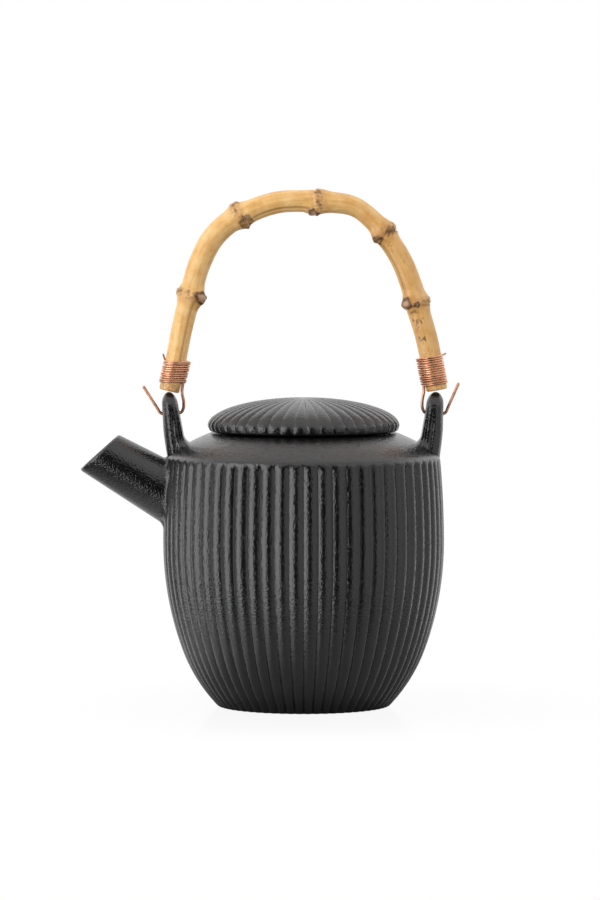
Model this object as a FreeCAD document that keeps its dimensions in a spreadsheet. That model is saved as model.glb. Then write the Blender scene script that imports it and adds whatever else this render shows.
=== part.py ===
import FreeCAD, Part
import math
import os

import Sketcher
from FreeCAD import Placement, Rotation, Vector

# A reeded stoneware teapot: a pot with a plain spout and two upright ears, a reeded lid,
# a steel tea basket in the mouth, and a bamboo bail that hangs in the ears on copper hooks.
# Millimetres. +Z is up, the origin is on the pot's axis in the plane that it stands on,
# and the spout points to -X. The ears, the bail and the spout lie in the XZ plane.

SIZES = {
    # pot, from the foot up to the mouth
    "base_radius": 42.4,
    "base_rounding": 1.6,
    "bend_height": 28.1,
    "belly_radius": 69.55,
    "belly_height": 81.5,
    "belly_curve": 155.0,
    "upper_curve": 437.0,
    "shoulder_height": 124.2,
    "shoulder_curve": 98.0,
    "rim_radius": 46.2,
    "rim_height": 135.6,
    "pot_wall": 4.5,
    "floor_thickness": 5.5,
    "shoulder_inset": 2.0,
    "lip_thickness": 5.0,
    "mouth_radius": 38.5,
    "gallery_width": 3.8,
    "gallery_depth": 1.3,
    # reeds of the pot: the V grooves between them
    "reed_count": 60,
    "reed_depth": 0.95,
    "reed_groove": 3.9,
    "reed_overrun": 1.5,
    # spout: its lip's middle, the slant of its axis and of its lip, and its tapered tube
    "spout_reach": 101.25,
    "spout_height": 125.7,
    "spout_slant": 29.2,
    "lip_slant": 42.5,
    "spout_length": 46.0,
    "spout_root_radius": 13.9,
    "spout_tip_radius": 12.35,
    "spout_wall": 2.8,
    "luting_gap": 0.05,
    # ears: the upright tongues on the shoulder and the hole for the hook
    "hinge_height": 145.4,
    "ear_height": 155.8,
    "ear_tip_place": 66.3,
    "ear_tip_rounding": 3.3,
    "ear_foot_height": 120.0,
    "ear_foot_outer": 67.2,
    "ear_foot_inner": 57.5,
    "ear_half_width": 8.8,
    "ear_neck_height": 137.5,
    "ear_flare_height": 125.0,
    "ear_flare_width": 15.5,
    "ear_flare_curve": 16.0,
    "ear_hole_radius": 1.35,
    "ear_slice_angle": 43.0,
    # lid: a dome with a rounded rim, and a skirt that drops into the basket
    "lid_seat_gap": 0.1,
    "lid_radius": 47.5,
    "lid_seat_radius": 46.3,
    "lid_wide_height": 4.1,
    "lid_height": 17.3,
    "lid_curve": 131.0,
    "lid_wall": 4.5,
    "skirt_depth": 7.0,
    "skirt_wall": 3.5,
    "skirt_gap": 0.8,
    "lid_reed_count": 45,
    "lid_reed_depth": 0.8,
    "lid_reed_groove": 2.6,
    "lid_reed_start": 9.0,
    # tea basket: a rim in the gallery, a pierced wall and a pierced base
    "basket_gap": 0.5,
    "basket_sheet": 0.6,
    "basket_rim": 0.8,
    "basket_rim_gap": 0.4,
    "collar_depth": 8.0,
    "basket_floor": 64.0,
    "wall_slot_width": 1.6,
    "wall_slot_length": 14.0,
    "wall_slot_count": 24,
    "wall_slot_rows": 3,
    "wall_slot_pitch": 18.5,
    "base_hole_radius": 1.4,
    "base_hole_pitch": 8.0,
    # bail: corners of the bamboo's centre line, as distances from the pot's axis and heights
    "left_end_reach": 66.4,
    "left_end_height": 157.0,
    "left_turn_reach": 50.8,
    "left_turn_height": 227.4,
    "left_turn_curve": 50.0,
    "left_top_reach": 24.9,
    "left_top_height": 249.9,
    "left_top_curve": 44.0,
    "right_top_reach": 23.4,
    "right_top_height": 249.7,
    "right_top_curve": 31.0,
    "right_turn_reach": 45.5,
    "right_turn_height": 229.5,
    "right_turn_curve": 45.0,
    "right_end_reach": 65.7,
    "right_end_height": 157.4,
    "bamboo_radius": 5.55,
    "node_radius": 6.9,
    "node_length": 4.2,
    "first_node": 50.0,
    "second_node": 97.0,
    "third_node": 135.0,
    "fourth_node": 173.0,
    "fifth_node": 210.5,
    # hooks: copper rod along the bamboo, down, through the ear and up outside it
    "hook_radius": 0.75,
    "hook_gap": 0.1,
    "hook_leg_reach": 59.0,
    "hook_outer_reach": 71.6,
    "hook_end_rise": 14.0,
    "hook_end_reach": 78.0,
    "hook_bend": 2.2,
    "hook_length": 14.0,
    # windings: fine copper wire round the bamboo and the hook's leg
    "wire_radius": 0.37,
    "wire_pitch": 1.2,
    "wire_gap": 0.1,
    "left_turns": 10,
    "left_winding_start": 2.4,
    "right_turns": 12,
    "right_winding_start": 1.0,
}


class Dim:
    """A size: its value in millimetres and the sheet expression that gives it."""

    def __init__(self, value, text):
        self.value = value
        self.text = text

    def __add__(self, other):
        other = as_dim(other)
        return Dim(self.value + other.value, f"({self.text} + {other.text})")

    def __sub__(self, other):
        other = as_dim(other)
        return Dim(self.value - other.value, f"({self.text} - {other.text})")

    def __mul__(self, other):
        other = as_dim(other)
        return Dim(self.value * other.value, f"({self.text} * {other.text})")

    def __truediv__(self, other):
        other = as_dim(other)
        return Dim(self.value / other.value, f"({self.text} / {other.text})")

    def __neg__(self):
        return Dim(-self.value, f"(0 - {self.text})")


def as_dim(size):
    """A plain number as a Dim; a Dim as it is."""
    return size if isinstance(size, Dim) else Dim(size, repr(size))


def root(size):
    """The square root of a Dim."""
    return Dim(math.sqrt(size.value), f"sqrt({size.text})")


def cosine(angle):
    """The cosine of a Dim in degrees."""
    return Dim(math.cos(math.radians(angle.value)), f"cos({angle.text})")


def sine(angle):
    """The sine of a Dim in degrees."""
    return Dim(math.sin(math.radians(angle.value)), f"sin({angle.text})")


doc = FreeCAD.newDocument("Teapot")
sheet = doc.addObject("Spreadsheet::Sheet", "Sizes")
size = {}
for row, (alias, value) in enumerate(SIZES.items(), start=1):
    sheet.set(f"A{row}", alias)
    sheet.set(f"B{row}", str(value))
    sheet.setAlias(f"B{row}", alias)
    size[alias] = Dim(value, f"Sizes.{alias}")
doc.recompute()
ZERO = Dim(0.0, "0")


def origin_feature(body, role):
    """One of the planes or axes of a body's own origin."""
    return [feature for feature in body.Origin.OriginFeatures if feature.Role == role][0]


def new_sketch(body, name, role, lift=None):
    """An empty sketch in a body's origin plane, or parallel to it at the height lift."""
    sketch = body.newObject("Sketcher::SketchObject", name)
    sketch.AttachmentSupport = [(origin_feature(body, role), "")]
    sketch.MapMode = "FlatFace"
    if lift is not None:
        sketch.setExpression("AttachmentOffset.Base.z", lift.text)
    return sketch


def bind(sketch, constraint, dim):
    """Add a constraint and drive it from the sheet."""
    index = sketch.addConstraint(constraint)
    sketch.setExpression(f"Constraints[{index}]", dim.text)


def pin(sketch, edge, end, x, y):
    """Bind one end of an edge to the coordinates x and y."""
    for kind, axis, dim in (("DistanceX", -2, x), ("DistanceY", -1, y)):
        if dim is ZERO:
            sketch.addConstraint(Sketcher.Constraint("PointOnObject", edge, end, axis))
        else:
            bind(sketch, Sketcher.Constraint(kind, -1, 1, edge, end, dim.value), dim)


def circle(sketch, x, y, radius):
    """A circle bound to the sheet."""
    ring = sketch.addGeometry(Part.Circle(Vector(x.value, y.value, 0), Vector(0, 0, 1), radius.value))
    pin(sketch, ring, 3, x, y)
    bind(sketch, Sketcher.Constraint("Radius", ring, radius.value), radius)


def arc_between(start, end, radius):
    """The short arc between two points; a positive radius turns left, a negative one right."""
    chord = end - start
    half = chord.Length / 2
    left = Vector(-chord.y, chord.x, 0).normalize()
    height = math.sqrt(max(radius * radius - half * half, 0.0))
    centre = start + chord * 0.5 + left * math.copysign(height, radius)
    first, last = (start, end) if radius > 0 else (end, start)
    turn = [math.atan2(p.y - centre.y, p.x - centre.x) for p in (first, last)]
    return Part.ArcOfCircle(Part.Circle(centre, Vector(0, 0, 1), abs(radius)), *turn)


def draw(sketch, corners, closed=True):
    """Draw an outline through corners (x, y, radius of the arc to the next corner or None).

    Every corner and radius is bound to the sheet."""
    count = len(corners) if closed else len(corners) - 1
    ends = []
    for number in range(count):
        x, y, radius = corners[number]
        next_x, next_y, _ = corners[(number + 1) % len(corners)]
        start = Vector(x.value, y.value, 0)
        end = Vector(next_x.value, next_y.value, 0)
        if radius is None:
            edge = sketch.addGeometry(Part.LineSegment(start, end))
            ends.append((edge, 1, 2))
        else:
            edge = sketch.addGeometry(arc_between(start, end, radius.value))
            ends.append((edge, 1, 2) if radius.value > 0 else (edge, 2, 1))
    for number, (edge, start, end) in enumerate(ends):
        x, y, radius = corners[number]
        pin(sketch, edge, start, x, y)
        if number + 1 < count or closed:
            following, joint, _ = ends[(number + 1) % count]
            sketch.addConstraint(Sketcher.Constraint("Coincident", edge, end, following, joint))
        else:
            pin(sketch, edge, end, *corners[-1][:2])
        if radius is not None:
            length = radius if radius.value > 0 else -radius
            bind(sketch, Sketcher.Constraint("Radius", edge, length.value), length)


# The meridian of the pot: three arcs, tangent where they meet. The belly arc and the upper
# arc have their centres at the belly's height, and the lower arc runs on from the belly arc.
bend_drop = size["belly_height"] - size["bend_height"]
bend_reach = root(size["belly_curve"] * size["belly_curve"] - bend_drop * bend_drop)
bend_radius = size["belly_radius"] - size["belly_curve"] + bend_reach
bend_cos = bend_reach / size["belly_curve"]
bend_sin = bend_drop / size["belly_curve"]
base_run = bend_radius - size["base_radius"]
lower_curve = (base_run * base_run + size["bend_height"] * size["bend_height"]) / (
    (base_run * bend_cos - size["bend_height"] * bend_sin) * 2
)
lower_x = bend_radius - lower_curve * bend_cos
lower_z = size["bend_height"] + lower_curve * bend_sin


def upper_radius(height, inset=ZERO):
    """The radius of the upper wall at a height, or that of a wall inset inside it."""
    curve = size["upper_curve"] - inset
    rise = height - size["belly_height"]
    return size["belly_radius"] - size["upper_curve"] + root(curve * curve - rise * rise)


def lower_radius(height, inset=ZERO):
    """The radius of the lower wall at a height, or that of a wall inset inside it."""
    curve = lower_curve - inset
    drop = lower_z - height
    return lower_x + root(curve * curve - drop * drop)


shoulder_radius = upper_radius(size["shoulder_height"])
gallery_radius = size["mouth_radius"] + size["gallery_width"]
gallery_height = size["rim_height"] - size["gallery_depth"]


def pot_outline(body, name):
    """Half the outside of the pot, closed along its axis."""
    sketch = new_sketch(body, name, "XZ_Plane")
    draw(sketch, [
        (ZERO, ZERO, None),
        (size["base_radius"] - size["base_rounding"], ZERO, size["base_rounding"] * 2),
        (lower_radius(size["base_rounding"]), size["base_rounding"], lower_curve),
        (bend_radius, size["bend_height"], size["belly_curve"]),
        (size["belly_radius"], size["belly_height"], size["upper_curve"]),
        (shoulder_radius, size["shoulder_height"], size["shoulder_curve"]),
        (size["rim_radius"], size["rim_height"], None),
        (ZERO, size["rim_height"], None),
    ])
    return sketch


def cavity_outline(body, name):
    """Half the inside of the pot, with its mouth and the gallery that the basket sits in."""
    wall = size["pot_wall"]
    floor = size["floor_thickness"]
    top = size["shoulder_height"] - size["shoulder_inset"]
    above = size["rim_height"] + size["reed_overrun"]
    sketch = new_sketch(body, name, "XZ_Plane")
    draw(sketch, [
        (ZERO, floor, None),
        (lower_radius(floor, wall), floor, lower_curve - wall),
        (bend_radius - wall * bend_cos, size["bend_height"] + wall * bend_sin, size["belly_curve"] - wall),
        (size["belly_radius"] - wall, size["belly_height"], size["upper_curve"] - wall),
        (upper_radius(top, wall), top, size["shoulder_curve"] - wall),
        (size["mouth_radius"], size["rim_height"] - size["lip_thickness"], None),
        (size["mouth_radius"], gallery_height, None),
        (gallery_radius, gallery_height, None),
        (gallery_radius, above, None),
        (ZERO, above, None),
    ])
    return sketch


def turned(body, kind, name, sketch, angle=360.0):
    """A Revolution or a Groove of a sketch about the pot's axis."""
    feature = body.newObject(f"PartDesign::{kind}", name)
    feature.Profile = sketch
    feature.ReferenceAxis = (sketch, ["V_Axis"])
    feature.Angle = angle
    return feature


def reeded(body, name, path, edges, section, count):
    """Cut one groove along a path and repeat it round the axis."""
    groove = body.newObject("PartDesign::SubtractivePipe", f"{name}Groove")
    groove.Profile = section
    groove.Spine = (path, [f"Edge{number}" for number in edges])
    pattern = body.newObject("PartDesign::PolarPattern", f"{name}Reeds")
    pattern.Originals = [groove]
    pattern.Axis = (origin_feature(body, "Z_Axis"), [""])
    pattern.Angle = 360.0
    pattern.setExpression("Occurrences", count.text)
    body.Tip = pattern
    return pattern


def place(feature, x, z, turn):
    """Put a feature at x and z in the XZ plane, turned about +Y by an angle in degrees."""
    feature.Placement = Placement(Vector(x.value, 0, z.value), Rotation(Vector(0, 1, 0), turn.value))
    feature.setExpression("Placement.Base.x", x.text)
    feature.setExpression("Placement.Base.z", z.text)
    feature.setExpression("Placement.Rotation.Angle", turn.text)


def spout_cone(body, kind, name, inset):
    """The spout's outer cone, or one inset inside it, from inside the pot to past the lip."""
    past = size["spout_tip_radius"] / 2
    taper = (size["spout_root_radius"] - size["spout_tip_radius"]) / size["spout_length"]
    cone = body.newObject(f"PartDesign::{kind}Cone", name)
    cone.setExpression("Radius1", (size["spout_root_radius"] - inset).text)
    cone.setExpression("Radius2", (size["spout_tip_radius"] - taper * past - inset).text)
    cone.setExpression("Height", (size["spout_length"] + past).text)
    root_x = size["spout_length"] * cosine(size["spout_slant"]) - size["spout_reach"]
    root_z = size["spout_height"] - size["spout_length"] * sine(size["spout_slant"])
    place(cone, root_x, root_z, size["spout_slant"] - 90)
    return cone


def make_pot_body():
    """The pot: turned outside and inside, its reeds cut down the wall."""
    body = doc.addObject("PartDesign::Body", "pot_body")
    turned(body, "Revolution", "PotOutside", pot_outline(body, "PotOutline"))
    turned(body, "Groove", "PotInside", cavity_outline(body, "PotCavity"))
    over = size["reed_overrun"]
    top = size["shoulder_height"] + over
    path = new_sketch(body, "ReedPath", "XZ_Plane")
    draw(path, [
        (lower_radius(-over), -over, lower_curve),
        (bend_radius, size["bend_height"], size["belly_curve"]),
        (size["belly_radius"], size["belly_height"], size["upper_curve"]),
        (upper_radius(top), top, None),
    ], closed=False)
    section = new_sketch(body, "ReedSection", "XY_Plane", lift=top)
    half = size["reed_groove"] / 2
    spread = half * (size["reed_depth"] + over) / size["reed_depth"]
    draw(section, [
        (upper_radius(top) - size["reed_depth"], ZERO, None),
        (upper_radius(top) + over, -spread, None),
        (upper_radius(top) + over, spread, None),
    ])
    reeded(body, "Pot", path, (1, 2, 3), section, size["reed_count"])
    spout_cone(body, "Subtractive", "SpoutHole", -size["luting_gap"])
    return body


def make_spout():
    """The spout: a tapered tube through the wall, cut slanting at the lip, flush inside the pot."""
    body = doc.addObject("PartDesign::Body", "spout")
    spout_cone(body, "Additive", "SpoutTube", ZERO)
    spout_cone(body, "Subtractive", "SpoutBore", size["spout_wall"])
    side = size["spout_root_radius"] * 3
    cutter = body.newObject("PartDesign::SubtractiveBox", "LipCut")
    for name in ("Length", "Width", "Height"):
        cutter.setExpression(name, side.text)
    corner_x = -size["spout_reach"] - side / 2 * cosine(size["lip_slant"])
    corner_z = size["spout_height"] - side / 2 * sine(size["lip_slant"])
    place(cutter, corner_x, corner_z, -size["lip_slant"])
    cutter.setExpression("Placement.Base.y", (-side / 2).text)
    trim = turned(body, "Groove", "SpoutRoot", cavity_outline(body, "SpoutCavity"))
    body.Tip = trim
    return body


def pocket(body, name, sketch):
    """Cut a sketch through the whole body towards +X."""
    feature = body.newObject("PartDesign::Pocket", name)
    feature.Profile = sketch
    feature.Type = "ThroughAll"
    feature.Reversed = True
    return feature


def make_ear_right():
    """An ear: a slice turned about the pot's axis, cut to a tongue and seated on the shoulder."""
    body = doc.addObject("PartDesign::Body", "ear_right")
    tip = size["ear_tip_rounding"]
    tip_base = size["ear_height"] - tip
    side = new_sketch(body, "EarSide", "XZ_Plane")
    draw(side, [
        (size["ear_foot_inner"], size["ear_foot_height"], None),
        (size["ear_foot_outer"], size["ear_foot_height"], None),
        (size["ear_tip_place"] + tip, tip_base, tip),
        (size["ear_tip_place"], size["ear_height"], tip),
        (size["ear_tip_place"] - tip, tip_base, None),
    ])
    blank = turned(body, "Revolution", "EarSlice", side)
    blank.Midplane = True
    blank.setExpression("Angle", size["ear_slice_angle"].text)
    width = size["ear_half_width"]
    flare = size["ear_flare_width"]
    far = flare * 3
    below = size["ear_foot_height"] - tip
    above = size["ear_height"] + tip
    shoulder = size["ear_height"] - width
    front = new_sketch(body, "EarFront", "YZ_Plane")
    draw(front, [(-far, below, None), (far, below, None), (far, above, None), (-far, above, None)])
    draw(front, [
        (-flare, below + tip / 2, None),
        (flare, below + tip / 2, None),
        (flare, size["ear_flare_height"], -size["ear_flare_curve"]),
        (width, size["ear_neck_height"], None),
        (width, shoulder, width),
        (ZERO, size["ear_height"], width),
        (-width, shoulder, None),
        (-width, size["ear_neck_height"], -size["ear_flare_curve"]),
        (-flare, size["ear_flare_height"], None),
    ])
    pocket(body, "EarTongue", front)
    turned(body, "Groove", "EarSeat", pot_outline(body, "EarShoulder"))
    hole = new_sketch(body, "EarHole", "YZ_Plane")
    circle(hole, ZERO, size["hinge_height"], size["ear_hole_radius"])
    body.Tip = pocket(body, "EarBore", hole)
    return body


def make_ear_left(right):
    """The other ear, the mirror image of the first."""
    mirror = doc.addObject("Part::Mirroring", "ear_left")
    mirror.Source = right
    mirror.Normal = Vector(1, 0, 0)
    return mirror


def make_lid():
    """The lid: a turned dome with a skirt, its reeds cut from the rim to near the middle."""
    body = doc.addObject("PartDesign::Body", "lid")
    seat = size["rim_height"] + size["lid_seat_gap"]
    apex = seat + size["lid_height"]
    curve = size["lid_curve"]
    ball = apex - curve
    wide = seat + size["lid_wide_height"]
    wide_rise = wide - ball
    edge = (curve * curve - size["lid_radius"] * size["lid_radius"] - wide_rise * wide_rise) / (
        (curve - size["lid_radius"]) * 2
    )
    grow = curve / (curve - edge)
    dome_x = (size["lid_radius"] - edge) * grow
    dome_z = ball + wide_rise * grow
    flare = size["lid_radius"] - size["lid_seat_radius"]
    under_edge = (flare * flare + size["lid_wide_height"] * size["lid_wide_height"]) / (flare * 2)
    inside = curve - size["lid_wall"]
    skirt = basket_radius - size["basket_sheet"] - size["skirt_gap"]
    hollow = skirt - size["skirt_wall"]
    skirt_foot = seat - size["skirt_depth"]
    outline = new_sketch(body, "LidOutline", "XZ_Plane")
    draw(outline, [
        (ZERO, apex - size["lid_wall"], -inside),
        (hollow, ball + root(inside * inside - hollow * hollow), None),
        (hollow, skirt_foot, None),
        (skirt, skirt_foot, None),
        (skirt, seat, None),
        (size["lid_seat_radius"], seat, under_edge),
        (size["lid_radius"], wide, edge),
        (dome_x, dome_z, curve),
        (ZERO, apex, None),
    ])
    turned(body, "Revolution", "LidTurned", outline)
    over = size["reed_overrun"]
    under_x = size["lid_radius"] - under_edge
    fall = size["lid_wide_height"] + over
    start = size["lid_reed_start"]
    start_z = ball + root(curve * curve - start * start) + size["lid_reed_depth"]
    run_x = start - dome_x
    run_z = start_z - dome_z
    fade = (run_x * run_x + run_z * run_z) * curve / ((-run_x * dome_x - run_z * (dome_z - ball)) * 2)
    path = new_sketch(body, "LidReedPath", "XZ_Plane")
    draw(path, [
        (under_x + root(under_edge * under_edge - fall * fall), wide - fall, under_edge),
        (size["lid_radius"], wide, edge),
        (dome_x, dome_z, fade),
        (start, start_z, None),
    ], closed=False)
    section = new_sketch(body, "LidReedSection", "XY_Plane", lift=wide)
    depth = size["lid_reed_depth"]
    spread = size["lid_reed_groove"] / 2 * (depth + over) / depth
    draw(section, [
        (size["lid_radius"] - depth, ZERO, None),
        (size["lid_radius"] + over, -spread, None),
        (size["lid_radius"] + over, spread, None),
    ])
    reeded(body, "Lid", path, (1, 2, 3), section, size["lid_reed_count"])
    return body


basket_radius = size["mouth_radius"] - size["basket_gap"]
basket_inside = basket_radius - size["basket_sheet"]
collar_foot = gallery_height - size["collar_depth"]


def make_infuser_rim():
    """The basket's rim: a flange in the gallery and a plain collar below it."""
    body = doc.addObject("PartDesign::Body", "infuser_rim")
    flange = gallery_radius - size["basket_rim_gap"]
    outline = new_sketch(body, "BasketRimOutline", "XZ_Plane")
    draw(outline, [
        (basket_inside, collar_foot, None),
        (basket_radius, collar_foot, None),
        (basket_radius, gallery_height, None),
        (flange, gallery_height, None),
        (flange, gallery_height + size["basket_rim"], None),
        (basket_inside, gallery_height + size["basket_rim"], None),
    ])
    turned(body, "Revolution", "BasketRimTurned", outline)
    return body


def ring_of_holes(body, name, sketch, count, reverse):
    """Pierce a sketch's hole to one side of its plane and repeat it round the axis."""
    hole = body.newObject("PartDesign::Pocket", f"{name}Hole")
    hole.Profile = sketch
    hole.Type = "ThroughAll"
    hole.Reversed = reverse
    pattern = body.newObject("PartDesign::PolarPattern", f"{name}Ring")
    pattern.Originals = [hole]
    pattern.Axis = (origin_feature(body, "Z_Axis"), [""])
    pattern.Angle = 360.0
    pattern.setExpression("Occurrences", count.text)
    body.Tip = pattern


def make_infuser_wall():
    """The basket's wall: a sheet cylinder with rows of upright slots."""
    body = doc.addObject("PartDesign::Body", "infuser_wall")
    outline = new_sketch(body, "BasketWallOutline", "XZ_Plane")
    foot = size["basket_floor"] + size["basket_sheet"]
    draw(outline, [
        (basket_inside, foot, None),
        (basket_radius, foot, None),
        (basket_radius, collar_foot, None),
        (basket_inside, collar_foot, None),
    ])
    turned(body, "Revolution", "BasketWallTurned", outline)
    column = new_sketch(body, "BasketWallSlots", "XZ_Plane")
    half = size["wall_slot_width"] / 2
    for row in range(int(sheet.get("wall_slot_rows"))):
        low = foot + size["wall_slot_pitch"] * row + (size["wall_slot_pitch"] - size["wall_slot_length"]) / 2
        high = low + size["wall_slot_length"]
        draw(column, [(-half, low, None), (half, low, None), (half, high, None), (-half, high, None)])
    ring_of_holes(body, "BasketWall", column, size["wall_slot_count"], False)
    return body


def make_infuser_base():
    """The basket's base: a sheet disc with rings of holes."""
    body = doc.addObject("PartDesign::Body", "infuser_base")
    outline = new_sketch(body, "BasketBaseOutline", "XZ_Plane")
    draw(outline, [
        (ZERO, size["basket_floor"], None),
        (basket_radius, size["basket_floor"], None),
        (basket_radius, size["basket_floor"] + size["basket_sheet"], None),
        (ZERO, size["basket_floor"] + size["basket_sheet"], None),
    ])
    turned(body, "Revolution", "BasketBaseTurned", outline)
    for ring in (1, 2, 3, 4):
        hole = new_sketch(body, f"BasketBaseHole{ring}", "XY_Plane")
        circle(hole, size["base_hole_pitch"] * ring, ZERO, size["base_hole_radius"])
        ring_of_holes(body, f"BasketBase{ring}", hole, as_dim(6 * ring), True)
    return body


def rounded_wire(points, radii):
    """Straight runs through points in the XZ plane, each inner corner rounded by an arc."""
    edges = []
    at = points[0]
    for before, corner, after, radius in zip(points, points[1:], points[2:], radii):
        arriving = (corner - before).normalize()
        leaving = (after - corner).normalize()
        turn = arriving.getAngle(leaving)
        reach = radius * math.tan(turn / 2)
        first = corner - arriving * reach
        last = corner + leaving * reach
        inward = (leaving - arriving).normalize()
        middle = corner + inward * (radius / math.cos(turn / 2) - radius)
        edges.append(Part.LineSegment(at, first).toShape())
        edges.append(Part.Arc(first, middle, last).toShape())
        at = last
    edges.append(Part.LineSegment(at, points[-1]).toShape())
    return Part.Wire(edges)


def swept(name, wire, radius):
    """A round rod along a wire."""
    path = doc.addObject("Part::Feature", f"{name}Path")
    path.Shape = wire
    section = doc.addObject("Part::Circle", f"{name}Section")
    section.setExpression("Radius", radius.text)
    start = wire.OrderedEdges[0]
    heading = start.tangentAt(start.FirstParameter)
    section.Placement = Placement(wire.OrderedVertexes[0].Point, Rotation(Vector(0, 0, 1), heading))
    rod = doc.addObject("Part::Sweep", name)
    rod.Sections = [section]
    rod.Spine = (path, [f"Edge{number + 1}" for number in range(len(wire.Edges))])
    rod.Solid = True
    rod.Frenet = False
    return rod


def bail_point(name, side):
    """A corner of the bamboo's centre line; side is -1 on the spout's side, +1 on the other."""
    return Vector(side * size[f"{name}_reach"].value, 0, size[f"{name}_height"].value)


bail_corners = [
    bail_point("left_end", -1),
    bail_point("left_turn", -1),
    bail_point("left_top", -1),
    bail_point("right_top", 1),
    bail_point("right_turn", 1),
    bail_point("right_end", 1),
]
bail_curves = [sheet.get(f"{name}_curve") for name in ("left_turn", "left_top", "right_top", "right_turn")]
BAMBOO_NODES = ("first_node", "second_node", "third_node", "fourth_node", "fifth_node")


def make_bamboo():
    """The bamboo: a bent round culm, swollen at its nodes."""
    wire = rounded_wire(bail_corners, bail_curves)
    culm = swept("BambooCulm", wire, size["bamboo_radius"])
    swellings = []
    for name in BAMBOO_NODES:
        walked = sheet.get(name)
        for edge in wire.OrderedEdges:
            if walked <= edge.Length:
                break
            walked -= edge.Length
        at = edge.getParameterByLength(walked)
        node = doc.addObject("Part::Ellipsoid", name)
        node.setExpression("Radius1", size["node_length"].text)
        node.setExpression("Radius2", size["node_radius"].text)
        node.setExpression("Radius3", size["node_radius"].text)
        node.Placement = Placement(edge.valueAt(at), Rotation(Vector(0, 0, 1), edge.tangentAt(at)))
        swellings.append(node)
    bamboo = doc.addObject("Part::MultiFuse", "bamboo_handle")
    bamboo.Shapes = [culm] + swellings
    return bamboo


def arm(side):
    """The end of one arm of the bamboo, the way up it, and the way in towards the pot's axis."""
    end, turn = (bail_corners[0], bail_corners[1]) if side < 0 else (bail_corners[-1], bail_corners[-2])
    up = (turn - end).normalize()
    inward = Vector(-side * up.z, 0, side * up.x)
    return end, up, inward


def make_hook(name, side):
    """A hook: down the inside of the arm, out through the ear along the hinge, and up outside."""
    end, up, inward = arm(side)
    hinge = sheet.get("hinge_height")
    bend = sheet.get("hook_bend")
    away = sheet.get("bamboo_radius") + sheet.get("hook_radius") + sheet.get("hook_gap")
    top = end + up * sheet.get("hook_length") + inward * away
    foot = end + inward * away
    corner = Vector(side * sheet.get("hook_leg_reach"), 0, hinge)
    outside = Vector(side * sheet.get("hook_outer_reach"), 0, hinge)
    tip = Vector(side * sheet.get("hook_end_reach"), 0, hinge + sheet.get("hook_end_rise"))
    wire = rounded_wire([top, foot, corner, outside, tip], [bend, bend, bend])
    return swept(name, wire, size["hook_radius"])


def biarc(start, heading, end, leaving):
    """Two arcs from start to end that begin along heading and finish along leaving."""
    chord = end - start
    both = heading + leaving
    bend = 2 * (1 - heading.dot(leaving))
    along = chord.dot(both)
    reach = (math.sqrt(along * along + bend * chord.dot(chord)) - along) / bend
    joint = (start + end + (heading - leaving) * reach) * 0.5
    edges = []
    turned_way = (joint - start - heading * reach).normalize()
    for first, way, last in ((start, heading, joint), (joint, turned_way, end)):
        span = last - first
        side = (span - way * span.dot(way)).normalize()
        radius = span.dot(span) / (2 * span.dot(side))
        centre = first + side * radius
        middle = centre + ((first + last) * 0.5 - centre).normalize() * radius
        edges.append(Part.Arc(first, middle, last).toShape())
    return edges


def make_winding(name, side, arm_name):
    """A winding: one wire in close turns round the bamboo and the hook's leg."""
    end, up, inward = arm(side)
    turns = int(sheet.get(f"{arm_name}_turns"))
    start = sheet.get(f"{arm_name}_winding_start")
    wire_radius = sheet.get("wire_radius")
    hook_width = 2 * sheet.get("hook_radius") + sheet.get("hook_gap")
    offset = hook_width / 2
    radius = sheet.get("bamboo_radius") + offset + sheet.get("wire_gap") + wire_radius
    across = up.cross(inward)
    slope = sheet.get("wire_pitch") / (2 * math.pi)
    quarter = math.pi / 2

    def turn_point(angle):
        foot = end + up * (start + slope * angle) + inward * offset
        return foot + (inward * math.cos(angle) + across * math.sin(angle)) * radius

    def turn_heading(angle):
        round_it = (across * math.cos(angle) - inward * math.sin(angle)) * radius
        return (round_it + up * slope).normalize()

    angles = [quarter * number for number in range(4 * turns + 1)]
    tail = 2 * wire_radius
    edges = [Part.LineSegment(turn_point(0) - turn_heading(0) * tail, turn_point(0)).toShape()]
    for first, last in zip(angles, angles[1:]):
        edges += biarc(turn_point(first), turn_heading(first), turn_point(last), turn_heading(last))
    stop = angles[-1]
    edges.append(Part.LineSegment(turn_point(stop), turn_point(stop) + turn_heading(stop) * tail).toShape())
    spine = Part.Wire(edges)
    section = Part.Wire(Part.Circle(spine.OrderedVertexes[0].Point, turn_heading(0), wire_radius).toShape())
    winding = doc.addObject("Part::Feature", name)
    winding.Shape = spine.makePipeShell([section], True, False)
    steps = [turn_point(quarter / 9 * number) for number in range(36 * turns + 1)]
    apart = min(
        steps[one].distanceToPoint(steps[two])
        for one in range(len(steps))
        for two in range(one + 18, min(one + 54, len(steps)))
    )
    print(name, "least gap to itself", round(apart - 2 * wire_radius, 3))
    return winding


ear_right = make_ear_right()
nodes = [
    make_pot_body(),
    make_spout(),
    make_ear_left(ear_right),
    ear_right,
    make_lid(),
    make_infuser_rim(),
    make_infuser_wall(),
    make_infuser_base(),
    make_bamboo(),
    make_hook("hook_left", -1),
    make_hook("hook_right", 1),
    make_winding("winding_left", -1, "left"),
    make_winding("winding_right", 1, "right"),
]
doc.recompute()
for thing in doc.Objects:
    if "Invalid" in thing.State or "Error" in thing.State:
        raise SystemExit(f"{thing.Name} failed: {thing.State}")
for node in nodes:
    if node.Shape.isNull() or not node.Shape.isValid():
        raise SystemExit(f"{node.Label} has no valid shape")
os.makedirs("parts", exist_ok=True)
for node in nodes:
    node.Shape.exportStep(os.path.join("parts", f"{node.Label}.step"))
    print(node.Label, "solids", len(node.Shape.Solids), "volume", round(node.Shape.Volume, 1))
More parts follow.
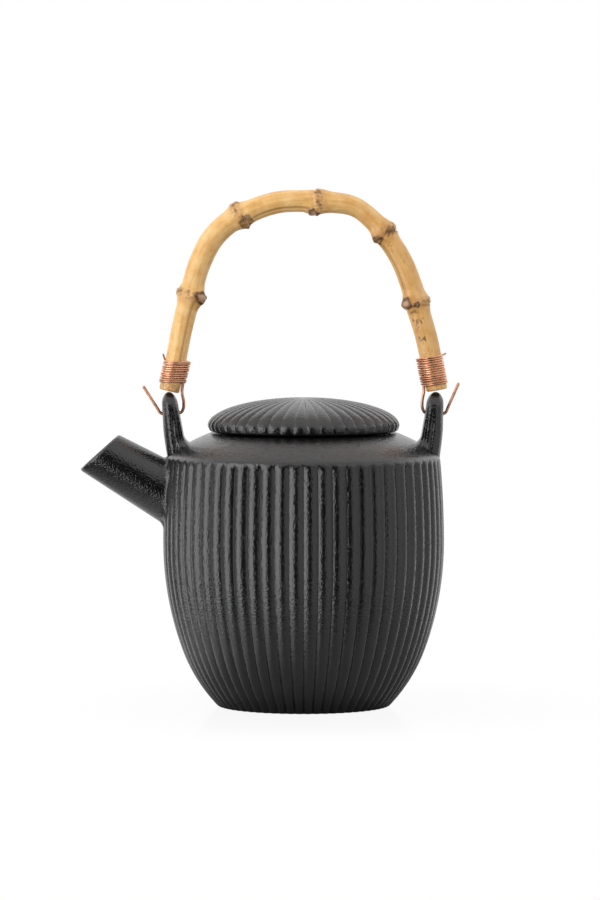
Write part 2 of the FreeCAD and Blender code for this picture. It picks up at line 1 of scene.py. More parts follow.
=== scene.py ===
# %% [markdown]
# # A reeded teapot with a bamboo bail
# The pot is black stoneware with a satin glaze. A steel tea basket hangs in its mouth, a reeded lid
# closes it, and a bent length of bamboo hangs from two lugs on copper wire.
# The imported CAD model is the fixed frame: every surface below is worked out in the same place and
# stands for one of its nodes. Sizes are in millimetres, and MM turns them into the frame's metres.

import bpy
import numpy as np
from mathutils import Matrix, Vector


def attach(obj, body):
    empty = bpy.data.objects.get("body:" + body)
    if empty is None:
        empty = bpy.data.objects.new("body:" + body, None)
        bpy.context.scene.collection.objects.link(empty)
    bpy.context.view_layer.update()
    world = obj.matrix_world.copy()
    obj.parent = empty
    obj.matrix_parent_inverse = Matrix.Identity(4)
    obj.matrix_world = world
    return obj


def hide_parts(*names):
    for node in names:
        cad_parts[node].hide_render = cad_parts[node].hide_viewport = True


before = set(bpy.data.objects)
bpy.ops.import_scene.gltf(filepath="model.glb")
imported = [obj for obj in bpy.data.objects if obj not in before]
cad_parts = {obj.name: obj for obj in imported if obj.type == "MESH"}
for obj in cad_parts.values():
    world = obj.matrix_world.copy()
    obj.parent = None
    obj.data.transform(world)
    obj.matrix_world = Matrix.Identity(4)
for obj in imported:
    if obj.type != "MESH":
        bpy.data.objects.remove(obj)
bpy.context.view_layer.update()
MM = 0.001


# %% [markdown]
# ## From a grid of points to a mesh
# Thrown, cast and drawn things are easy to describe with two numbers: how far along, and how far
# round. A grid of points over those two numbers is the whole shape, so one helper turns any such
# grid into a closed mesh. It also stores values per point, which the finishes read later.

# %% Helpers for objects and closed surfaces
def put_object(name, data):
    """A new object in the scene."""
    thing = bpy.data.objects.new(name, data)
    bpy.context.scene.collection.objects.link(thing)
    return thing


def put_surface(name, points, loop=False, **values):
    """Makes a closed mesh object from points[i, j], in millimetres.

    Column j goes round and closes on itself. The first and the last row are each closed by a fan of
    triangles to their middle; in a loop they are joined to each other instead. The faces are turned
    outwards by the sign of the enclosed volume, the sum of a . (b x c) / 6 over the triangles. Each
    keyword is stored as a value per point: one number, or three for a direction or a place.
    """
    rows, columns = points.shape[:2]
    count = rows * columns
    index = np.arange(count).reshape(rows, columns)
    if loop:
        index = np.concatenate([index, index[:1]])
    beside = np.roll(index, -1, axis=1)
    quads = np.stack([index[:-1], beside[:-1], beside[1:], index[1:]], axis=-1).reshape(-1, 4)
    low = np.stack([beside[0], index[0], np.full(columns, count)], axis=-1)
    high = np.stack([index[-1], beside[-1], np.full(columns, count + 1)], axis=-1)
    fans = np.concatenate([low, high])[: 0 if loop else 2 * columns]

    def flat(grid):
        cells = grid.reshape(count, *grid.shape[2:])
        return cells if loop else np.concatenate([cells, [grid[0].mean(axis=0), grid[-1].mean(axis=0)]])

    corners = flat(points) * MM
    triangles = np.concatenate([quads[:, [0, 1, 2]], quads[:, [0, 2, 3]], fans])
    a, b, c = (corners[triangles[:, k]] for k in range(3))
    if np.einsum("ij,ij->", a, np.cross(b, c)) < 0:
        quads, fans = quads[:, ::-1], fans[:, ::-1]
    mesh = bpy.data.meshes.new(name)
    mesh.from_pydata(corners.tolist(), [], quads.tolist() + fans.tolist())
    mesh.polygons.foreach_set("use_smooth", np.ones(len(mesh.polygons), dtype=bool))
    for key, grid in values.items():
        grid = np.broadcast_to(grid, (rows, columns) + np.shape(grid)[2:])
        kind, field = ("FLOAT", "value") if grid.ndim == 2 else ("FLOAT_VECTOR", "vector")
        layer = mesh.attributes.new(key, kind, "POINT")
        layer.data.foreach_set(field, flat(grid).astype(np.float32).ravel())
    print(name, "has", len(quads) * 2 + len(fans), "triangles")
    return put_object(name, mesh)


# %% [markdown]
# ## Outlines of turned pieces
# Pot and lid are turned: an outline in radius and height goes once round the axis. An outline is
# a chain of arcs and straight runs, and its corners are rounded, because glaze never stays on a
# sharp edge. Reeds are pushed into the outline's surface, and a soft step lets them fade out. Tubes
# and wires need circles, and soft marks a bell curve.

# %% Helpers for outlines, circles and marks
def smooth_step(start, end, value):
    """0 up to start, 1 from end on, and 3t^2 - 2t^3 between; start may be above end."""
    t = np.clip((value - start) / (end - start), 0, 1)
    return t * t * (3 - 2 * t)


def bell(gap, width):
    """exp(-(gap / width)^2)."""
    return np.exp(-((gap / width) ** 2))


def unit(vectors):
    """Vectors of length 1, along the last axis."""
    return vectors / np.linalg.norm(vectors, axis=-1, keepdims=True)


def full_turn(count):
    """Even angles once round."""
    return np.linspace(0, 2 * np.pi, count + 1)[:-1]


def around(angle, first, second):
    """cos(angle) * first + sin(angle) * second, for every angle."""
    return np.cos(angle)[..., None] * first + np.sin(angle)[..., None] * second


def arc(start, end, radius, count):
    """count points of the arc from start to end with its centre to the left of the way:
    centre = middle of the chord + normal * sqrt(radius^2 - half^2)."""
    start, end = np.asarray(start, float), np.asarray(end, float)
    chord = end - start
    half = np.linalg.norm(chord) / 2
    normal = np.array([-chord[1], chord[0]]) / (2 * half)
    centre = (start + end) / 2 + normal * np.sqrt(radius**2 - half**2)
    sweep = 2 * np.arcsin(half / radius)
    angle = np.arctan2(*(start - centre)[::-1]) + sweep * np.linspace(0, 1, count)
    return centre + radius * np.stack([np.cos(angle), np.sin(angle)], axis=1)


def rounded(corner, before, after, cut, count=6):
    """A rounded corner: the quadratic curve that leaves the run towards before at the distance cut
    from the corner and joins the run towards after at the same distance."""
    corner, before, after = (np.asarray(p, float) for p in (corner, before, after))
    start, end = (corner + unit(run - corner) * cut for run in (before, after))
    t = np.linspace(0, 1, count)[:, None]
    return start * (1 - t) ** 2 + 2 * corner * t * (1 - t) + end * t**2


def reed_dip(turn, count, sharpness):
    """How far a reeded surface lies below its crests, 0 on a crest to 1 in a groove:
    |2 p|^sharpness, where p is the place across one reed from -1/2 to 1/2."""
    place = np.mod(turn * count / (2 * np.pi), 1) - 0.5
    return np.abs(2 * place) ** sharpness


def put_reeded(name, rows, count, depth, sharpness, per_reed):
    """Carries an outline round the axis. Its rows are (points, share of the reeds), walked with the
    outside on the right; each point is moved in along its normal by share * depth * dip. The points of
    a reed are crowded towards its grooves: sin(pi t / 2) / 2 for even t from -1 to 1."""
    outline = np.concatenate([np.asarray(points, float) for points, _ in rows])
    share = np.concatenate([np.broadcast_to(part, len(points)) for points, part in rows])
    way = unit(np.gradient(outline, axis=0))
    place = np.sin(np.linspace(-1, 1, per_reed + 1)[:-1] * np.pi / 2) / 2
    turns = ((np.arange(count)[:, None] + 0.5 + place) * 2 * np.pi / count).ravel()
    dip = share[:, None] * depth * reed_dip(turns, count, sharpness)
    radius = outline[:, 0, None] - dip * way[:, 1, None]
    height = outline[:, 1, None] + dip * way[:, 0, None]
    points = np.stack([radius * np.cos(turns), radius * np.sin(turns), height], axis=-1)
    return put_surface(name, points)


# %% [markdown]
# ## The pot
# Sixty convex reeds run up the wall from the foot to the edge of the shoulder, where each ends in
# a small rounded scallop. The shoulder above is plain. A modelled reed shades far better than a bump
# map, so the reeds are in the surface itself: the wall is pushed in between two crests, and the push
# fades out over the rounded edges of the foot and the shoulder.

# %% The pot's wall
BELLY, BELLY_LEVEL, BEND_LEVEL = 69.55, 81.5, 28.1
BELLY_ARC, UPPER_ARC = 155.0, 437.0
LOWER_ARC, LOWER_CENTRE, LOWER_LEVEL = 79.8, -14.86, 55.6
SHOULDER_LEVEL, SHOULDER_ARC, EDGE_ROUND = 124.2, 98.0, 2.4
RIM, RIM_LEVEL, MOUTH, GALLERY, GALLERY_LEVEL, LIP_FOOT = 46.2, 135.6, 38.5, 42.3, 134.3, 129.6
# inside: the wall and the floor, where the lip's underside leads, and the corner of roof and wall
WALL, FLOOR, UNDER_LIP, ROOF_CORNER = 4.5, 5.5, (60.0, 121.5), (60.6, 120.6)
REEDS, REED_DEPTH, REED_SHARPNESS = 60, 1.2, 2.0
REEDS_END, REEDS_FULL = SHOULDER_LEVEL + 0.2, SHOULDER_LEVEL - 3.6


def wall_radius(height):
    """Crest radius of the wall: centre + sqrt(R^2 - (height - level)^2) on three arcs, from the foot
    to the bend, from the bend to the belly, and from the belly to the shoulder."""
    height = np.asarray(height, float)
    low, middle, high = (
        centre + np.sqrt(np.maximum(radius**2 - (height - level) ** 2, 0))
        for centre, level, radius in (
            (LOWER_CENTRE, LOWER_LEVEL, LOWER_ARC),
            (BELLY - BELLY_ARC, BELLY_LEVEL, BELLY_ARC),
            (BELLY - UPPER_ARC, BELLY_LEVEL, UPPER_ARC),
        )
    )
    return np.where(height < BEND_LEVEL, low, np.where(height < BELLY_LEVEL, middle, high))


EDGE = float(wall_radius(SHOULDER_LEVEL))
shoulder_line = arc((EDGE, SHOULDER_LEVEL), (RIM, RIM_LEVEL), SHOULDER_ARC, 40)


def pot_rows():
    """The outline from the foot up, over the rim and down inside, and each row's share of the reeds."""
    foot = float(wall_radius(0))
    below_edge = np.linspace(118.5, SHOULDER_LEVEL - EDGE_ROUND, 6)
    levels = np.concatenate([np.linspace(2.0, 117.5, 42), below_edge])
    wall = np.stack([wall_radius(levels), levels], axis=1)
    edge = rounded((EDGE, SHOULDER_LEVEL), wall[-1], shoulder_line[5], EDGE_ROUND, 11)
    shoulder = shoulder_line[6:-1:3]
    inside_levels = np.linspace(112, 13, 14)
    slope = np.gradient(wall_radius(inside_levels), inside_levels)
    inside_radius = wall_radius(inside_levels) - WALL * np.sqrt(1 + slope**2)
    inside = np.stack([inside_radius, inside_levels], axis=1)
    return [
        ([(14.0, 0), (30.0, 0)], 0.0),
        (rounded((foot, 0), (0, 0), wall[0], 1.5, 6), np.linspace(0.1, 1, 6)),
        (wall, smooth_step(REEDS_END, REEDS_FULL, levels)),
        (edge[1:], smooth_step(REEDS_END, REEDS_FULL, edge[1:, 1])),
        (shoulder, 0.0),
        (rounded((RIM, RIM_LEVEL), shoulder[-1], (GALLERY, RIM_LEVEL), 1.2), 0.0),
        (rounded((GALLERY, RIM_LEVEL), (RIM, RIM_LEVEL), (GALLERY, GALLERY_LEVEL), 0.5, 4), 0.0),
        ([(GALLERY, GALLERY_LEVEL)], 0.0),
        (rounded((MOUTH, GALLERY_LEVEL), (GALLERY, GALLERY_LEVEL), (MOUTH, LIP_FOOT), 0.8, 4), 0.0),
        (rounded((MOUTH, LIP_FOOT), (MOUTH, RIM_LEVEL), UNDER_LIP, 2.0, 4), 0.0),
        (rounded(ROOF_CORNER, (MOUTH, LIP_FOOT), inside[0], 6.0, 5), 0.0),
        (inside, 0.0),
        (rounded((inside[-1, 0] - 4.6, FLOOR), inside[-1], (0, FLOOR), 5.0, 5), 0.0),
        ([(25.0, FLOOR), (8.0, FLOOR)], 0.0),
    ]


pot = put_reeded("reeded_pot", pot_rows(), REEDS, REED_DEPTH, REED_SHARPNESS, 12)
print("pot rim at", RIM_LEVEL, "mm, widest", 2 * BELLY, "mm")


# %% [markdown]
# ## The spout
# The spout is a plain tapered tube, luted to the wall before firing and cut off on a slant. Its
# outside meets the reeded wall in a small fillet, which a modeller would smooth with a wet finger.
# The fillet is found rather than drawn: at every angle round the tube, the surface is moved along the
# tube until its distance from the wall matches a quarter circle.

# %% The spout's surface
SPOUT_SLANT, LIP_SLANT = np.radians(29.9), np.radians(43.0)
SPOUT_TIP = np.array([-101.25, 0, 125.7])
SPOUT_LENGTH, SPOUT_ROOT, SPOUT_END, SPOUT_WALL, SPOUT_FILLET = 46.0, 14.9, 12.35, 2.6, 2.6
LIP_ROUND, LIP_INSET = 1.3, 1.5
# the depth of the fillet's foot in the wall, the bore's end past the wall, and where the wall is sought
SUNK, PAST_WALL, FARTHEST, NEAREST = 1.6, 0.4, -60.0, -5.0
spout_way = np.array([-np.cos(SPOUT_SLANT), 0, np.sin(SPOUT_SLANT)])
spout_up = np.array([np.sin(SPOUT_SLANT), 0, np.cos(SPOUT_SLANT)])
lip_normal = np.array([-np.sin(LIP_SLANT), 0, np.cos(LIP_SLANT)])


def spout_point(along, angle, out=0.0):
    """tip + along * way + (radius + out) * (cos(angle) * up + sin(angle) * Y); along is 0 at the lip
    and negative towards the pot, and the radius grows evenly from the lip to the root."""
    radius = SPOUT_END + (SPOUT_END - SPOUT_ROOT) * along / SPOUT_LENGTH
    reach = (radius + out)[..., None]
    return SPOUT_TIP + along[..., None] * spout_way + reach * around(angle, spout_up, (0, 1.0, 0))


def above_wall(points):
    """Distance outside the reeded wall, measured level: radius - (crest radius - reed depth * dip)."""
    radius = np.hypot(points[..., 0], points[..., 1])
    dip = REED_DEPTH * reed_dip(np.arctan2(points[..., 1], points[..., 0]), REEDS, REED_SHARPNESS)
    return radius - (wall_radius(points[..., 2]) - dip)


def meet_wall(angle, out, gap):
    """Distance along the spout where its surface, moved out, has that gap to the wall: by halving."""
    low, high = np.full(np.shape(angle), FARTHEST), np.full(np.shape(angle), NEAREST)
    for _ in range(40):
        middle = (low + high) / 2
        near = above_wall(spout_point(middle, angle, out)) < gap
        low, high = np.where(near, middle, low), np.where(near, high, middle)
    return (low + high) / 2


def spout_grid():
    """Rows from the buried foot, over the fillet and up the outside, round the lip and down the bore. The
    slanted lip cuts a line of the tube at along = -radius cos(angle) (up . n) / (way . n)."""
    angle = full_turn(192)
    rows = [spout_point(meet_wall(angle, SPOUT_FILLET, -SUNK), angle, SPOUT_FILLET)]
    for bend in np.linspace(0, np.pi / 2, 9):
        out = SPOUT_FILLET * (1 - np.sin(bend))
        gap = SPOUT_FILLET * (1 - np.cos(bend))
        rows.append(spout_point(meet_wall(angle, out, gap), angle, out))
    start = meet_wall(angle, 0.0, SPOUT_FILLET)
    lip = -SPOUT_END * np.cos(angle) * (spout_up @ lip_normal) / (spout_way @ lip_normal)
    for share in np.linspace(0, 1, 24)[1:-1]:
        rows.append(spout_point(start + (lip - LIP_ROUND - start) * share, angle))
    for bend in np.linspace(0, np.pi, 13):
        inset = LIP_INSET / 2 * (1 - np.cos(bend))
        rows.append(spout_point(lip - LIP_ROUND * (1 - np.sin(bend)), angle, -inset))
    deep = meet_wall(angle, -SPOUT_WALL, -WALL - PAST_WALL)
    for share in np.linspace(0, 1, 14)[1:]:
        inset = LIP_INSET + (SPOUT_WALL - LIP_INSET) * smooth_step(0, 0.25, share)
        rows.append(spout_point(lip - LIP_ROUND + (deep - lip + LIP_ROUND) * share, angle, -inset))
    return np.stack(rows)


spout_rows = spout_grid()
print("spout reaches x", round(float(spout_rows[..., 0].min()), 2), "mm")


# %% [markdown]
# The tube has no bottom: its bore opens into the pot. So the last row, at the inside of the wall, is
# joined back to the first one, and the grid closes in a loop. The wall behind it needs a hole, which
# follows no row of the pot's grid, so a solid rod is cut out of the finished mesh.

# %% The spout, and the hole in the wall
# the hole's ends, measured back from the lip, and its room round the bore
HOLE_START, HOLE_END, HOLE_ROOM = 62, 25, 0.9


def cut(piece, points):
    """Takes a solid away from a piece with a Boolean modifier; the result is the piece's new mesh."""
    tool = put_surface("cutter", points)
    modifier = piece.modifiers.new("cut", "BOOLEAN")
    modifier.operation, modifier.solver, modifier.object = "DIFFERENCE", "EXACT", tool
    evaluated = piece.evaluated_get(bpy.context.evaluated_depsgraph_get())
    result = bpy.data.meshes.new_from_object(evaluated)
    piece.modifiers.remove(modifier)
    old, piece.data = piece.data, result
    result.name = old.name
    bpy.data.meshes.remove(old)
    bpy.data.objects.remove(tool)
    print(piece.name, "after the cut has", len(result.polygons), "faces")


def rod(start, end, radius, count):
    """A straight round rod: start or end + radius * (cos(angle) * side + sin(angle) * across)."""
    start, end = np.asarray(start, float), np.asarray(end, float)
    side = np.array([0, 1.0, 0])
    ring = radius * around(full_turn(count), side, np.cross(unit(end - start), side))
    return np.stack([start + ring, end + ring])


spout = put_surface("spout_tube", spout_rows, loop=True)
hole = [SPOUT_TIP - spout_way * back for back in (HOLE_START, HOLE_END)]
cut(pot, rod(*hole, SPOUT_END - SPOUT_WALL + HOLE_ROOM, 96))


# %% [markdown]
# ## The lugs
# Each lug is a thick tongue that grows out of the shoulder. Flutes like the wall's run up its sides and
# fade out below the top, and a hole goes through it for the wire. A lug is built as a stack of
# level slices, each a rounded box; at the bottom the slices widen in a fillet that follows the shoulder.

# %% The lugs' surface
HINGE, LUG_TOP, LUG_TIP = 145.4, 155.8, 5.6
LUG_HALF, LUG_MIDDLE, LUG_REACH, LUG_SQUARENESS = 8.8, 62.5, 4.9, 3.0
LUG_FILLET, LUG_FLARE, LUG_SUNK, LUG_HOLE = 4.2, 3.4, 2.5, 1.35
LUG_FLUTE, LUG_GROOVES, GROOVE_WIDTH = 0.5, (0.2, 0.52, 0.84), 0.055
FLUTES_END, FLUTES_FULL = 149, 137
# radius of a lug's outer and inner face at the levels, for the left (-1) and the right (1)
OUTER_LEVELS, INNER_LEVELS = [118, 124.2, 130, 137, 150], [118, 124, 133, 145, 156]
LUG_OUTER = {-1: [67.0, 67.6, 68.6, 69.5, 70.1], 1: [67.0, 67.5, 68.3, 69.0, 69.2]}
LUG_INNER = {-1: [57.0, 57.6, 59.0, 61.2, 63.3], 1: [56.6, 57.0, 57.9, 60.0, 61.5]}


def round_top(height, radius):
    """1 up to a radius below the top, then sqrt(1 - (rise / radius)^2), a quarter circle down to 0."""
    rise = np.maximum(height - (LUG_TOP - radius), 0)
    return np.sqrt(np.clip(1 - (rise / radius) ** 2, 0, 1))


def lug_grid(side):
    """x = side * (middle + half * c), y = breadth * s, with (c, s) on a superellipse |c|^n + |s|^n = 1,
    bent to the pot's curve, grooved by the flutes and widened by a fillet at the foot. The fillet is on
    the side of the mouth; the outside runs straight down into the wall. The top is a nose of radius
    LUG_TIP in side view and half a circle of radius LUG_HALF in end view."""
    angle = full_turn(160)
    power = 2 / LUG_SQUARENESS
    c = np.sign(np.cos(angle)) * np.abs(np.cos(angle)) ** power
    s = np.sign(np.sin(angle)) * np.abs(np.sin(angle)) ** power
    inward = smooth_step(0.55, -0.2, c)
    fillet = LUG_FILLET * inward
    on_shoulder = np.interp(np.minimum(LUG_MIDDLE + LUG_REACH * c, EDGE), *shoulder_line[::-1].T)
    foot = on_shoulder * inward + (SHOULDER_LEVEL - 2) * (1 - inward)
    rows = [(foot - LUG_SUNK, fillet)]
    for bend in np.linspace(0, np.pi / 2, 9):
        rows.append((foot + (1 - np.cos(bend)) * fillet, (1 - np.sin(bend)) * fillet))
    start = foot + fillet
    rest = start + (LUG_TOP - start) * np.sin(np.linspace(0, 1, 44)[1:-1, None] * np.pi / 2)
    rows += [(height, np.zeros_like(height)) for height in rest]
    height, spread = (np.stack(column) for column in zip(*rows))
    outer = np.interp(height, OUTER_LEVELS, LUG_OUTER[side])
    inner = np.interp(height, INNER_LEVELS, LUG_INNER[side])
    half = (outer - inner) / 2 * round_top(height, LUG_TIP)
    depth = LUG_FLUTE * smooth_step(FLUTES_END, FLUTES_FULL, height)
    groove = sum(bell((c + 1) / 2 - at, GROOVE_WIDTH) for at in LUG_GROOVES)
    breadth = LUG_HALF * round_top(height, LUG_HALF) + spread
    y = (breadth - depth * groove * np.abs(s) ** 2) * s
    radius = (outer + inner) / 2 + (half + np.minimum(spread, LUG_FLARE)) * c
    radius -= 0.6 * depth * reed_dip(y / radius, REEDS, REED_SHARPNESS) * smooth_step(0.6, 0.95, c)
    x = np.sqrt(np.maximum(radius**2 - y**2, 0))
    return np.stack([side * x, y, height], axis=-1)


lugs = {}
for name, side in (("left", -1), ("right", 1)):
    lugs[name] = put_surface(f"lug_{name}", lug_grid(side))
    hole = [(side * x, 0, HINGE) for x in (54.0, 76.0)]
    cut(lugs[name], rod(*hole, LUG_HOLE, 32))


# %% [markdown]
# ## The lid
# The lid is a low dome with no knob. Forty-five wide reeds run from its middle over the rim, so that a
# finger finds a hold on its edge. A skirt below keeps it in the mouth. It is made as the pot is, with
# the reeds growing from nothing at the middle to their full depth near the rim.

# %% The lid's surface
LID_RADIUS, LID_WIDE, LID_APEX, LID_SEAT, LID_SEAT_EDGE = 47.5, 139.2, 153.0, 135.7, 42.6
LID_UNDERCUT, DOME_WALL = 0.9, 4.5
SKIRT, SKIRT_WALL, SKIRT_FOOT = 36.6, 3.5, 128.7
LID_REEDS, LID_REED_DEPTH, LID_REED_SHARPNESS = 45, 0.7, 2.6


def dome(share):
    """The dome is a quarter of an ellipse from the rim (share 0) to the middle (share 1):
    radius = R cos(a), height = wide + (apex - wide) sin(a), with a = share * pi / 2."""
    angle = np.asarray(share, float) * np.pi / 2
    height = LID_WIDE + (LID_APEX - LID_WIDE) * np.sin(angle)
    return np.stack([LID_RADIUS * np.cos(angle), height], axis=-1)


def lid_rows():
    """From the middle of the underside down the skirt, out over the seat and the undercut that leaves
    a dark line below the rim, round the rim and up the dome, and each row's share of the reeds."""
    hollow = SKIRT - SKIRT_WALL
    ceiling = dome([0.95, 0.8, 0.68, 0.6]) - [0, DOME_WALL]
    top = dome(0.55) - [0, DOME_WALL]
    top[0] = hollow
    seat = (LID_SEAT_EDGE, LID_SEAT)
    edge, brim = (LID_RADIUS - 1.1, LID_SEAT + LID_UNDERCUT), (LID_RADIUS - 0.2, LID_WIDE - 1.2)
    up = dome(np.linspace(0, 1, 54) ** 0.9)[:-1]
    return [
        (ceiling, 0.0),
        (rounded(top, ceiling[-1], (hollow, SKIRT_FOOT), 2.0, 4), 0.0),
        (rounded((hollow, SKIRT_FOOT), top, (SKIRT, SKIRT_FOOT), 1.2, 5), 0.0),
        (rounded((SKIRT, SKIRT_FOOT), (hollow, SKIRT_FOOT), (SKIRT, LID_SEAT), 1.2, 5), 0.0),
        ([(SKIRT, LID_SEAT), seat], 0.0),
        (rounded(edge, seat, brim, 0.9, 7), np.linspace(0, 0.9, 7)),
        (up, smooth_step(0, 30, up[:, 0])),
    ]


lid = put_reeded("reeded_lid", lid_rows(), LID_REEDS, LID_REED_DEPTH, LID_REED_SHARPNESS, 16)


# %% [markdown]
# ## Lines that bend
# The bamboo and the wire follow lines. A line needs only the few points that its bends need; a smooth
# curve through them is then resampled at even steps, and a round section is carried along it.

# %% Helpers for lines and wires
def lengths(line):
    """Length walked along a line, at each of its points."""
    return np.concatenate([[0], np.cumsum(np.linalg.norm(np.diff(line, axis=0), axis=1))])


def smooth_line(points, step):
    """Even steps along cubic Hermite pieces through the points, over chord length; the slope at a point
    is that of the parabola through it and its neighbours. Returns the points and their arc length."""
    points = np.asarray(points, float)
    knots = lengths(points)
    slopes = np.gradient(points, knots, axis=0, edge_order=2)
    fine = np.linspace(0, knots[-1], 6000)
    k = np.clip(np.searchsorted(knots, fine, side="right") - 1, 0, len(knots) - 2)
    width = (knots[k + 1] - knots[k])[:, None]
    t = (fine - knots[k])[:, None] / width
    line = (1 + 2 * t) * (1 - t) ** 2 * points[k] + t * (1 - t) ** 2 * width * slopes[k]
    line += t**2 * (3 - 2 * t) * points[k + 1] + t**2 * (t - 1) * width * slopes[k + 1]
    walked = lengths(line)
    even = np.linspace(0, walked[-1], int(round(walked[-1] / step)) + 1)
    return np.stack([np.interp(even, walked, line[:, axis]) for axis in range(3)], axis=1), even


def frames(line, reference):
    """Directions to the side of a line and across it: side is the part of the reference that is square
    to the line's way, and across = way x side."""
    reference = np.asarray(reference, float)
    way = unit(np.gradient(line, axis=0))
    side = unit(reference - (way @ reference)[:, None] * way)
    return side[:, None], np.cross(way, side)[:, None]


def put_wire(name, line, walked, radius, reference, count):
    """A wire along a line, of radius * sqrt(1 - (1 - d / radius)^2) at a distance d < radius from an
    end, so that the ends are round: line + radius * (cos(angle) * side + sin(angle) * across)."""
    near = np.minimum(walked, walked[-1] - walked)
    share = np.clip(near / radius, 0.02, 1)
    reach = (radius * np.sqrt(1 - (1 - share) ** 2))[:, None, None]
    print(name, "is", round(float(walked[-1]), 1), "mm long")
    ring = around(full_turn(count), *frames(line, reference))
    return put_surface(name, line[:, None] + reach * ring)


# %% [markdown]
# ## The bamboo
# One culm, steamed and bent. It swells at five nodes and drops off sharply where the sheath sat. Twigs
# were cut off flush at the nodes: each leaves a low round stub with a dark rim and a pale core. Above a
# twig the culm has a shallow furrow, darkened by painted shade, and the old skin has brown freckles. All
# of this is one radius that depends on the length and on the angle round, so stubs, steps and furrows
# are added to it before the surface is made. Where they are is stored with the points, and the finish
# paints them.

# %% The bamboo's line, nodes and marks
BAIL = [
    (-66.55, 0, 156.3), (-63.9, 0, 167.6), (-60.0, 0, 187.6), (-55.7, 0, 204.5), (-50.8, 0, 220.6),
    (-44.6, 0, 232.1), (-35.6, 0, 240.4), (-24.4, 0, 245.9), (-12.5, 0, 249.5), (0.2, 0, 250.1),
    (12.6, 0, 249.6), (25.3, 0, 247.2), (35.0, 0, 239.7), (42.4, 0, 230.4), (48.4, 0, 220.6),
    (53.0, 0, 209.1), (56.6, 0, 196.6), (60.4, 0, 183.7), (63.3, 0, 170.3), (65.93, 0, 156.7),
]
bail_line, bail_walked = smooth_line(BAIL, 0.42)
bail_length = float(bail_walked[-1])
# girth: share of the length, and the radius there
GIRTH = [
    (0.0, 5.05), (0.1, 5.15), (0.2, 5.4), (0.3, 5.65), (0.42, 5.5), (0.55, 5.3), (0.62, 4.8),
    (0.72, 5.2), (0.83, 5.45), (0.93, 5.4), (1.0, 5.2),
]
# node: a point on it, the swelling, and the side of its sharp step, 1 towards the right arm
NODES = [
    ((-55.6, 204.8), 1.0, 1), ((-30.4, 242.3), 0.85, 1), ((6.6, 249.6), 0.7, -1),
    ((40.0, 233.9), 0.95, 1), ((55.7, 199.3), 0.8, 1),
]
# stub: node, distance along, angle, half length, half width, height, share of pale core
STUBS = [
    (0, -0.7, 0.73, 3.2, 3.0, 2.1, 0.8), (0, 0.3, 2.95, 2.2, 2.4, 0.7, 0.0),
    (0, 0.4, 4.3, 2.4, 2.4, 0.8, 0.6), (1, 0.6, 0.82, 3.7, 3.4, 1.3, 0.0),
    (1, -0.8, 3.05, 2.2, 2.6, 0.9, 0.0), (1, 0.2, 4.9, 2.2, 2.2, 0.8, 0.6),
    (2, -1.6, 0.55, 2.7, 2.4, 1.9, 1.0), (2, 0.3, 4.2, 2.4, 2.2, 0.9, 0.7),
    (3, 0.4, 0.8, 2.4, 2.4, 1.4, 0.15), (3, 0.6, 2.95, 2.6, 2.6, 0.8, 0.0),
    (3, 0.2, 5.0, 2.2, 2.2, 0.9, 0.5), (4, -1.8, 0.77, 2.9, 2.6, 1.5, 1.0),
    (4, 0.1, 1.57, 1.4, 1.2, 0.4, 0.3), (4, 0.0, 3.0, 2.4, 2.6, 0.8, 0.0),
    (4, 0.3, 4.4, 2.3, 2.2, 0.9, 0.6),
]
# freckle: node, distance along, angle, half length, half width, depth of colour
FRECKLES = [
    (0, 0.2, 1.15, 0.9, 0.7, 0.9), (0, 0.6, 1.75, 1.1, 0.8, 0.6), (0, 0.4, 2.35, 0.8, 0.7, 0.7),
    (0, -40.0, 1.5, 0.7, 0.6, 0.6), (0, -41.5, 0.75, 0.9, 0.4, 0.8), (0, -41.0, 1.75, 1.2, 0.4, 0.4),
    (1, -1.8, 2.6, 0.7, 0.7, 0.6), (1, -1.4, 2.1, 0.75, 0.7, 0.75), (1, 0.4, 1.35, 1.4, 1.2, 0.8),
    (2, 0.4, 2.42, 2.2, 1.3, 0.75), (2, 0.4, 1.55, 0.9, 0.6, 0.8), (2, 1.6, 1.3, 0.7, 0.6, 0.9),
    (2, -0.6, 1.2, 0.6, 0.4, 0.9), (2, 2.4, 1.0, 0.6, 0.5, 0.7), (2, 0.9, 1.95, 1.6, 0.5, 0.5),
    (3, 0.4, 2.13, 2.4, 2.7, 0.75), (3, 5.0, 1.5, 0.5, 0.3, 0.7), (3, 5.8, 1.2, 0.7, 0.3, 0.6),
    (3, 6.6, 1.45, 0.4, 0.3, 0.6), (3, 9.5, 1.2, 1.4, 0.25, 0.5), (3, 17.0, 1.75, 0.9, 0.4, 0.4),
    (4, -1.0, 2.15, 0.7, 0.6, 0.7), (4, 3.0, 1.1, 0.9, 2.2, 0.65), (4, 7.0, 0.75, 0.8, 0.6, 0.9),
    (4, 8.2, 1.12, 1.0, 0.7, 0.95), (4, 7.5, 1.32, 0.6, 0.5, 0.8), (4, 8.9, 1.5, 0.9, 0.5, 0.9),
    (4, 7.4, 1.75, 0.6, 0.4, 0.6), (4, 9.8, 1.0, 0.6, 0.5, 0.7), (4, 11.0, 1.1, 0.8, 0.5, 0.6),
    (4, 12.4, 0.95, 0.6, 0.4, 0.5), (4, 16.5, 0.9, 0.7, 0.6, 0.8), (4, 17.4, 1.38, 1.1, 0.9, 0.95),
    (4, 17.8, 1.1, 0.6, 1.4, 0.6), (4, 19.6, 1.15, 0.9, 0.4, 0.4), (4, 8.0, 4.2, 0.9, 0.7, 0.7),
]
node_places = [
    float(bail_walked[np.argmin(np.hypot(bail_line[:, 0] - x, bail_line[:, 2] - z))])
    for (x, z), _, _ in NODES
]
